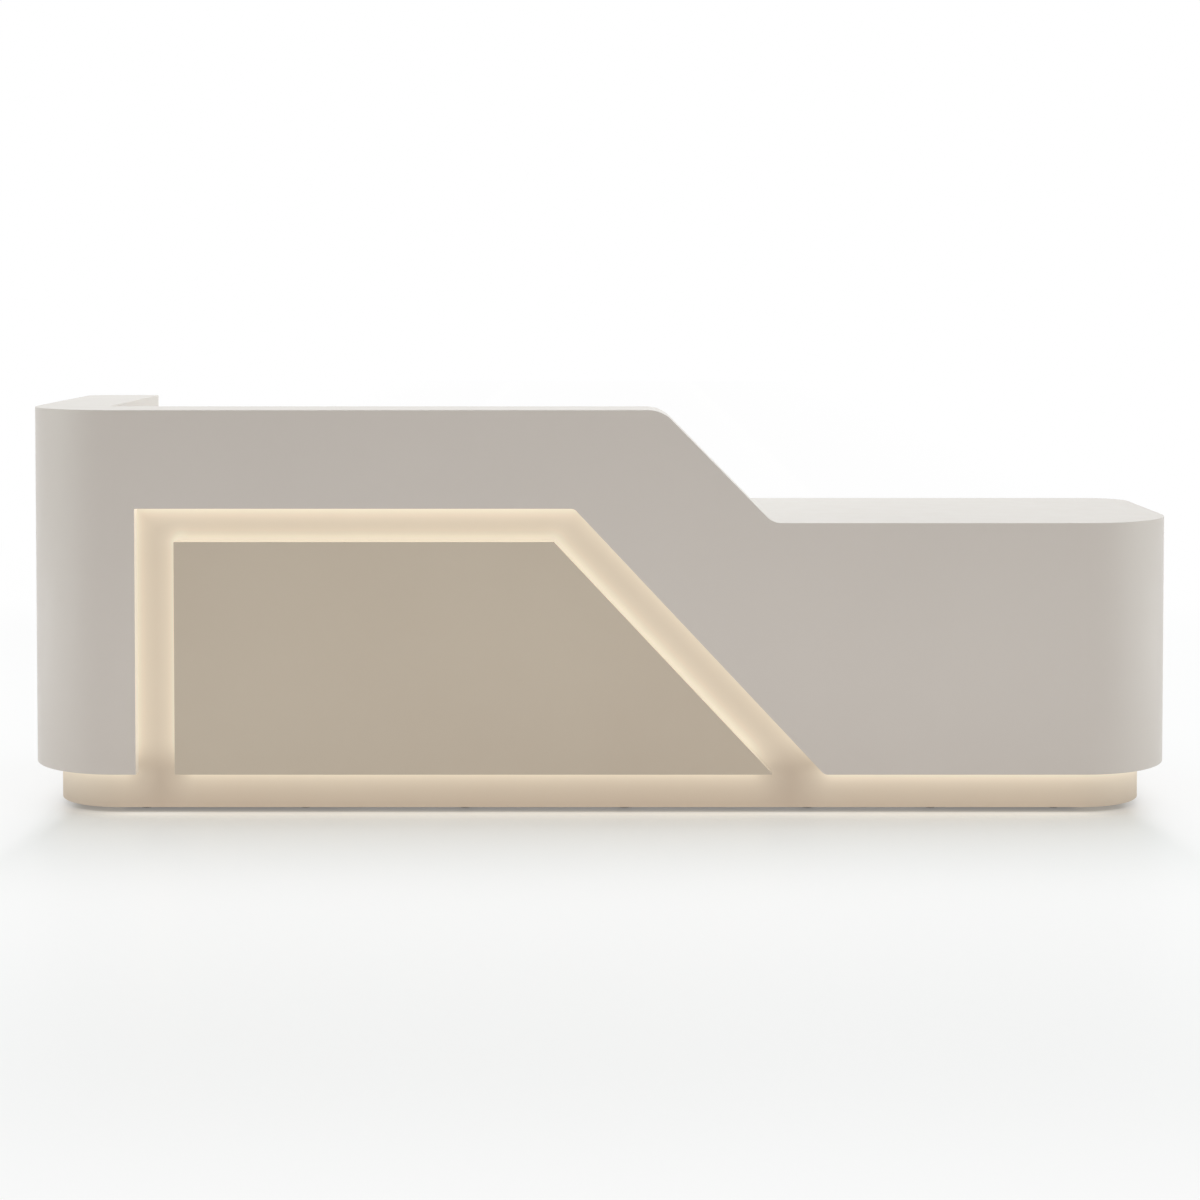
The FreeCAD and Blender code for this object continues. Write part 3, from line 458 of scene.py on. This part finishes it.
# moulded polycarbonate of a light switch: glossy white
switchPolycarbonate = {"colours": ("#EDEDEA", "#E9E9E6"), "driftWidth": 20, "roughness": (0.16, 0.22),
                       "roughnessWidth": 15, "sparkWidth": 4, "reliefDepth": 0.004, "reliefStrength": 0.3,
                       "ior": 1.585}


def moulded(name, look):
    material, tree, shader, place = startMaterial(name)
    colour = driftColour(tree, place, look)
    roughness = driftRoughness(tree, place, look)
    sparkSet = {"Scale": perMetre(look["sparkWidth"]), "Detail": 3.0}
    spark = addNode(tree, "TexNoise", sparkSet, {"Vector": place})
    finishShader(tree, shader, look, colour, roughness, spark.outputs["Fac"])
    return material


dress(moulded("mouldedNylonGrey", greyNylon), "grommets", "mains_gland", "levelling_feet")
dress(moulded("mouldedPolycarbonateWhite", switchPolycarbonate), "switch_plate", "switch_rocker")
print("metals and plastics done")


# zinc plated cross recess screws, their heads stand a little proud of what they hold;
# the dome narrows and rises by shares of the head, and the cross narrows to its floor
screwHead = {"radius": 3.0, "rise": 0.9, "sink": 0.4, "arm": 1.9, "armWidth": 0.8, "recess": 0.7,
             "pointDepth": 0.15, "sides": 24, "edgeRise": 0.3, "domeRise": 0.85, "domeRadius": 0.86,
             "crossFloor": 0.8, "sharpFrom": 35}
# where they sit, measured from the edges of the pieces that they hold
screwPlaces = {"leafThickness": 1.5, "leafEdge": 5, "leafHeights": (9, 30, 51), "bracketThickness": 4,
               "bracketLegs": (28, 48), "plateEnds": (14, 44), "switchSide": 32, "driverCorner": 9,
               "handleSpacing": 128}


# one head in the mesh: a domed rim round a cross that goes down to its floor
def addScrew(mesh, spot, outward, look):
    put = Matrix.Translation(spot) @ Vector(outward).to_track_quat("Z", "Y").to_matrix().to_4x4()
    arm, half = look["arm"], look["armWidth"] / 2
    bend = (arm + half) / 2
    quarter = [(arm, 0), (arm, half), (bend, half), (half, half), (half, bend), (half, arm)]
    cross = []
    for step in range(4):
        turn = Matrix.Rotation(math.radians(90 * step), 2)
        cross.extend(turn @ Vector(point) for point in quarter)
    sides, rise = look["sides"], look["rise"]
    angles = [2 * math.pi * i / sides for i in range(sides)]
    rim = [Vector((math.cos(angle), math.sin(angle))) * look["radius"] for angle in angles]
    floor = rise - look["recess"]
    levels = ((rim, -look["sink"]), (rim, rise * look["edgeRise"]),
              ([p * look["domeRadius"] for p in rim], rise * look["domeRise"]),
              (cross, rise), ([p * look["crossFloor"] for p in cross], floor))
    rings = []
    for points, height in levels:
        rings.append([mesh.verts.new(put @ (Vector((p.x, p.y, height)) * mm)) for p in points])
    for lower, upper in zip(rings, rings[1:]):
        for i in range(sides):
            mesh.faces.new((lower[i - 1], lower[i], upper[i], upper[i - 1]))
    centre = mesh.verts.new(put @ (Vector((0, 0, floor - look["pointDepth"])) * mm))
    for i in range(sides):
        mesh.faces.new((rings[-1][i - 1], rings[-1][i], centre))
    mesh.faces.new(reversed(rings[0]))


# each body gets the screws that turn with it
def screwSpots(places):
    spots = {}

    def put(body, outward, x, y, z):
        spots.setdefault(body, []).append((Vector((x, y, z)), outward))

    pinPlaces = [sum(boxOf(points), Vector()).x / 2 for points in solidsOf("hinge_pins")]
    for node, body in (("hinge_fixed_leaves", "desk"), ("door_left_hinge_leaves", "door_left"),
                       ("door_right_hinge_leaves", "door_right")):
        for points in solidsOf(node):
            low, high = boxOf(points)
            middle = (low.x + high.x) / 2
            pin = min(pinPlaces, key=lambda x: abs(x - middle))
            x = low.x + places["leafEdge"] * mm if pin > middle else high.x - places["leafEdge"] * mm
            for height in places["leafHeights"]:
                put(body, (0, 1, 0), x, low.y + places["leafThickness"] * mm, low.z + height * mm)
    for points in solidsOf("worktop_brackets"):
        low, high = boxOf(points)
        middle = (low.x + high.x) / 2
        for leg in places["bracketLegs"]:
            put("desk", (0, 1, 0), middle, low.y + places["bracketThickness"] * mm, high.z - leg * mm)
            put("desk", (0, 0, -1), middle, low.y + leg * mm, high.z - places["bracketThickness"] * mm)
    for points in solidsOf("joining_plates"):
        low, high = boxOf(points)
        for end in places["plateEnds"]:
            for x in (low.x + end * mm, high.x - end * mm):
                put("desk", (0, 0, -1), x, (low.y + high.y) / 2, low.z)
    low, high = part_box("switch_plate")
    middle = (low + high) / 2
    for side in (-1, 1):
        put("desk", (0, 1, 0), middle.x + side * places["switchSide"] * mm, high.y, middle.z)
    low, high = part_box("led_driver")
    corner = places["driverCorner"] * mm
    for x in (low.x + corner, high.x - corner):
        for z in (low.z + corner, high.z - corner):
            put("desk", (0, 1, 0), x, high.y, z)
    # handle screws come through from the inside of the doors and drawers
    half = places["handleSpacing"] / 2 * mm
    for body, board in (("door_left", "panel"), ("door_right", "panel"), ("drawer_top", "front"),
                        ("drawer_middle", "front"), ("drawer_bottom", "front")):
        low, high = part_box(body + "_handle")
        middle = (low + high) / 2
        along = Vector((0, 0, half)) if high.z - low.z > high.x - low.x else Vector((half, 0, 0))
        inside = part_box(body + "_" + board)[0].y
        for spot in (middle - along, middle + along):
            put(body, (0, -1, 0), spot.x, inside, spot.z)
    return spots


for body, spots in screwSpots(screwPlaces).items():
    mesh = bmesh.new()
    for spot, outward in spots:
        addScrew(mesh, spot, outward, screwHead)
    bmesh.ops.recalc_face_normals(mesh, faces=mesh.faces)
    data = bpy.data.meshes.new(body + "_screws")
    mesh.to_mesh(data)
    mesh.free()
    data.shade_smooth()
    data.set_sharp_from_angle(angle=math.radians(screwHead["sharpFrom"]))
    data.materials.append(zinc)
    screws = bpy.data.objects.new(body + "_screws", data)
    scene.collection.objects.link(screws)
    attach(screws, body)
print("screws done")


# pale studio floor with a blurred sheen, it goes over into the white background away from the desk;
# the light that the strips over the plinth throw on it is painted on, and shade is painted into the gap under
# the plinth
studioFloor = {
    "half": 30000, "seen": "#F2F1EF", "bounce": "#ECEBE9", "roughness": 0.32, "ior": 1.3,
    "frontShares": ((0, 0.1), (150, 0.25), (600, 0.72), (1000, 0.8), (1900, 0.6), (2600, 0.88), (3400, 1.0)),
    "endsFrom": 1360,
    "endShares": ((0, 0.1), (30, 0.3), (90, 0.72), (200, 0.82), (800, 0.88), (1800, 0.95), (3000, 1.0)),
    "blend": 0.2,
    "stripCorner": 208, "glow": "#FFF8EA", "paintedGlowStrength": 0.3, "glowReach": 27, "glowEnds": (1200, 1460),
    "gapPaintedShade": "#A89D85", "gapDepth": 60, "gapEdge": 1.5,
}


# 1 for what the camera, metal and glass see, 0 for light that goes on from surface to surface
def seenMask(tree):
    path = addNode(tree, "LightPath").outputs
    seen = path["Is Camera Ray"]
    for ray in ("Is Glossy Ray", "Is Transmission Ray"):
        seen = addNode(tree, "Math", {"operation": "MAXIMUM"}, {0: seen, 1: path[ray]}).outputs[0]
    return seen


# how white the floor is, by the distance past the ends of the desk and in front of it or behind it
def whiteShare(tree, place, look):
    fold = addNode(tree, "VectorMath", {"operation": "ABSOLUTE"}, {0: place}).outputs[0]
    fold = addNode(tree, "SeparateXYZ", {}, {0: fold}).outputs
    shares = []
    for axis, edge, pairs in (("X", look["endsFrom"] * mm, look["endShares"]),
                              ("Y", cadHigh.y, look["frontShares"])):
        past = addNode(tree, "Math", {"operation": "SUBTRACT", 1: edge}, {0: fold[axis]})
        shares.append(levelAlong(tree, past.outputs[0], pairs))
    join = {"operation": "SMOOTH_MAX", 2: look["blend"]}
    return addNode(tree, "Math", join, {0: shares[0], 1: shares[1]}).outputs[0]


# distance from the line of the strips over the plinth, which is rounded at the front corners
def fromStripLine(tree, spot, stripLow, radius):
    sideways = addNode(tree, "Math", {"operation": "ABSOLUTE"}, {0: spot["X"]}).outputs[0]
    sideways = addNode(tree, "Math", {"operation": "ADD", 1: stripLow.x + radius}, {0: sideways}).outputs[0]
    fromFront = {"operation": "SUBTRACT", 0: stripLow.y + radius}
    forward = addNode(tree, "Math", fromFront, {1: spot["Y"]}).outputs[0]
    outside = addNode(tree, "CombineXYZ", {}, {0: sideways, 1: forward}).outputs[0]
    outside = addNode(tree, "VectorMath", {"operation": "MAXIMUM", 1: (0, 0, 0)}, {0: outside}).outputs[0]
    outside = addNode(tree, "VectorMath", {"operation": "LENGTH"}, {0: outside}).outputs["Value"]
    inside = addNode(tree, "Math", {"operation": "MAXIMUM"}, {0: sideways, 1: forward}).outputs[0]
    inside = addNode(tree, "Math", {"operation": "MINIMUM", 1: 0.0}, {0: inside}).outputs[0]
    fromArc = addNode(tree, "Math", {"operation": "ADD"}, {0: outside, 1: inside}).outputs[0]
    return addNode(tree, "Math", {"operation": "SUBTRACT", 1: radius}, {0: fromArc}).outputs[0]


def floorMaterial(look):
    material, tree, shader, place = startMaterial("studioFloorWhite")
    seen = seenMask(tree)
    shader.inputs["Roughness"].default_value = look["roughness"]
    shader.inputs["IOR"].default_value = look["ior"]
    share = whiteShare(tree, place, look)
    fade = addNode(tree, "Math", {"operation": "MULTIPLY"}, {0: share, 1: seen}).outputs[0]
    white = addNode(tree, "Emission", {"Color": (1, 1, 1, 1), "Strength": 1.0}).outputs[0]
    blend = addNode(tree, "MixShader", {}, {0: fade, 1: shader.outputs[0], 2: white}).outputs[0]

    # painted light: the glow of the strips is painted on the floor, it falls off with the square of the
    # distance and ends at the corners of the desk
    spot = addNode(tree, "SeparateXYZ", {}, {0: place}).outputs
    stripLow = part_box("led_strips")[0]
    fromLine = fromStripLine(tree, spot, stripLow, look["stripCorner"] * mm)
    scaled = {"operation": "DIVIDE", 1: look["glowReach"] * mm}
    ratio = addNode(tree, "Math", scaled, {0: fromLine}).outputs[0]
    fall = addNode(tree, "Math", {"operation": "MULTIPLY_ADD", 2: 1.0}, {0: ratio, 1: ratio}).outputs[0]
    glow = addNode(tree, "Math", {"operation": "DIVIDE", 0: look["paintedGlowStrength"]}, {1: fall}).outputs[0]
    span = addNode(tree, "Math", {"operation": "ABSOLUTE"}, {0: spot["X"]}).outputs[0]
    close = {"interpolation_type": "SMOOTHSTEP", **mapLimits([end * mm for end in look["glowEnds"]], (1, 0))}
    ends = addNode(tree, "MapRange", close, {"Value": span}).outputs[0]
    glow = addNode(tree, "Math", {"operation": "MULTIPLY"}, {0: glow, 1: ends}).outputs[0]
    warm = addNode(tree, "Emission", {"Color": hexColour(look["glow"])}, {"Strength": glow}).outputs[0]
    lit = addNode(tree, "AddShader", {}, {0: blend, 1: warm}).outputs[0]
    tree.links.new(lit, tree.nodes["Material Output"].inputs["Surface"])

    # painted shade: the floor in the gap under the plinth is painted darker, darkest at its front edge
    face = stripLow.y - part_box("backboard_front")[0].y
    edge, depth = look["gapEdge"] * mm, look["gapDepth"] * mm
    under = ends
    for limits in ((face + edge, face - edge), (face - depth, face)):
        part = addNode(tree, "MapRange", mapLimits(limits), {"Value": fromLine}).outputs[0]
        under = addNode(tree, "Math", {"operation": "MULTIPLY"}, {0: under, 1: part}).outputs[0]
    colour = addNode(tree, "Mix", shadePair(look["bounce"], look["seen"]), {0: seen}).outputs[2]
    shade = {"data_type": "RGBA", "blend_type": "MULTIPLY", 7: hexColour(look["gapPaintedShade"])}
    colour = addNode(tree, "Mix", shade, {0: under, 6: colour}).outputs[2]
    tree.links.new(colour, shader.inputs["Base Color"])
    return material


def makeFloor(look):
    mesh = bmesh.new()
    bmesh.ops.create_grid(mesh, x_segments=1, y_segments=1, size=look["half"] * mm)
    data = bpy.data.meshes.new("studioFloor")
    mesh.to_mesh(data)
    mesh.free()
    data.materials.append(floorMaterial(look))
    floor = bpy.data.objects.new("studioFloor", data)
    scene.collection.objects.link(floor)
    return floor


floor = makeFloor(studioFloor)

# soft room light, and a white background for what the camera and the shiny pieces see
roomLight = {"fill": "#A19F9D", "background": "#FFFFFF", "strength": 1.0}
world = bpy.data.worlds.new("studioRoom")
scene.world = world
world.use_nodes = True
tree = world.node_tree
tones = shadePair(roomLight["fill"], roomLight["background"])
tone = addNode(tree, "Mix", tones, {0: seenMask(tree)})
tree.links.new(tone.outputs[2], tree.nodes["Background"].inputs["Color"])
tree.nodes["Background"].inputs["Strength"].default_value = roomLight["strength"]

# one wide lamp over the desk, a soft one beyond each end, behind the visitor and on the staff side, a small
# one towards the inside of the wing, and white cards low at the front and at both ends; all in metres
lamps = {
    "overhead": {"place": (0, 0.4, 5.0), "aim": (0, 0, 0), "size": (9, 6), "watts": 222,
                 "colour": "#EFFCFF"},
    "leftEnd": {"place": (-6.4, -1.6, 1.6), "aim": (0, 0, 0.5), "size": (5, 3), "watts": 53,
                "colour": "#F3FFFB"},
    "rightEnd": {"place": (6.4, -1.6, 1.6), "aim": (0, 0, 0.5), "size": (5, 3), "watts": 61,
                 "colour": "#F3FFFB"},
    "visitorSide": {"place": (0, -9.5, 2.6), "aim": (0, 0, 0.4), "size": (8, 4), "watts": 12,
                    "colour": "#FFF8F3"},
    "staffSide": {"place": (2.6, 5.5, 2.4), "aim": (-0.6, 0.4, 0.8), "size": (4, 3), "watts": 55,
                  "colour": "#EFFAFC", "shines": False},
    "wingLamp": {"place": (0.3, 1.8, 1.25), "aim": (-1.4, 0.15, 1.03), "size": (1.2, 0.8), "watts": 10.5,
                 "colour": "#ECF7F5", "shines": False},
    "floorCard": {"place": (0, -1.4, 0.02), "aim": (0, -0.3, 0.5), "size": (3.4, 0.8), "watts": 5.0,
                  "colour": "#FFFDFA", "onFloor": False},
    "leftCard": {"place": (-3.0, -0.3, 0.02), "aim": (-1.5, 0, 0.4), "size": (2.4, 0.8), "watts": 5.5,
                 "colour": "#F6FAFF", "onFloor": False},
    "rightCard": {"place": (3.0, -0.3, 0.02), "aim": (1.5, 0, 0.4), "size": (2.4, 0.8), "watts": 5.5,
                  "colour": "#F6FAFF", "onFloor": False},
}
# the cards lie low over the floor and would draw their outline on it
allButFloor = bpy.data.collections.new("allButFloor")
allButFloor.objects.link(floor)
allButFloor.collection_objects[0].light_linking.link_state = "EXCLUDE"
for name, look in lamps.items():
    light = bpy.data.lights.new(name, "AREA")
    light.shape = "RECTANGLE"
    light.size, light.size_y = look["size"]
    light.energy = look["watts"]
    light.color = hexColour(look["colour"])[:3]
    lamp = bpy.data.objects.new(name, light)
    scene.collection.objects.link(lamp)
    lamp.visible_camera = False
    lamp.visible_glossy = look.get("shines", True)
    if not look.get("onFloor", True):
        lamp.light_linking.receiver_collection = allButFloor
    lamp.location = look["place"]
    lamp.rotation_euler = (Vector(look["aim"]) - Vector(look["place"])).to_track_quat("-Z", "Y").to_euler()
print("stage and lamps done")

# camera in front of the visitor face, turned down a little: metres, degrees, and millimetres of film;
# the shift is a share of the frame
viewpoint = {"fromFace": 5.987, "height": 1.3444, "turnDown": 1.85, "lens": 70.21, "sensor": 36.0,
             "shift": -0.1912}
view = bpy.data.cameras.new("visitorView")
view.lens = viewpoint["lens"]
view.sensor_width = viewpoint["sensor"]
view.shift_y = viewpoint["shift"]
camera = bpy.data.objects.new("visitorView", view)
scene.collection.objects.link(camera)
camera.location = (0, cadLow.y - viewpoint["fromFace"], viewpoint["height"])
camera.rotation_euler = (math.radians(90 - viewpoint["turnDown"]), 0, 0)
scene.camera = camera
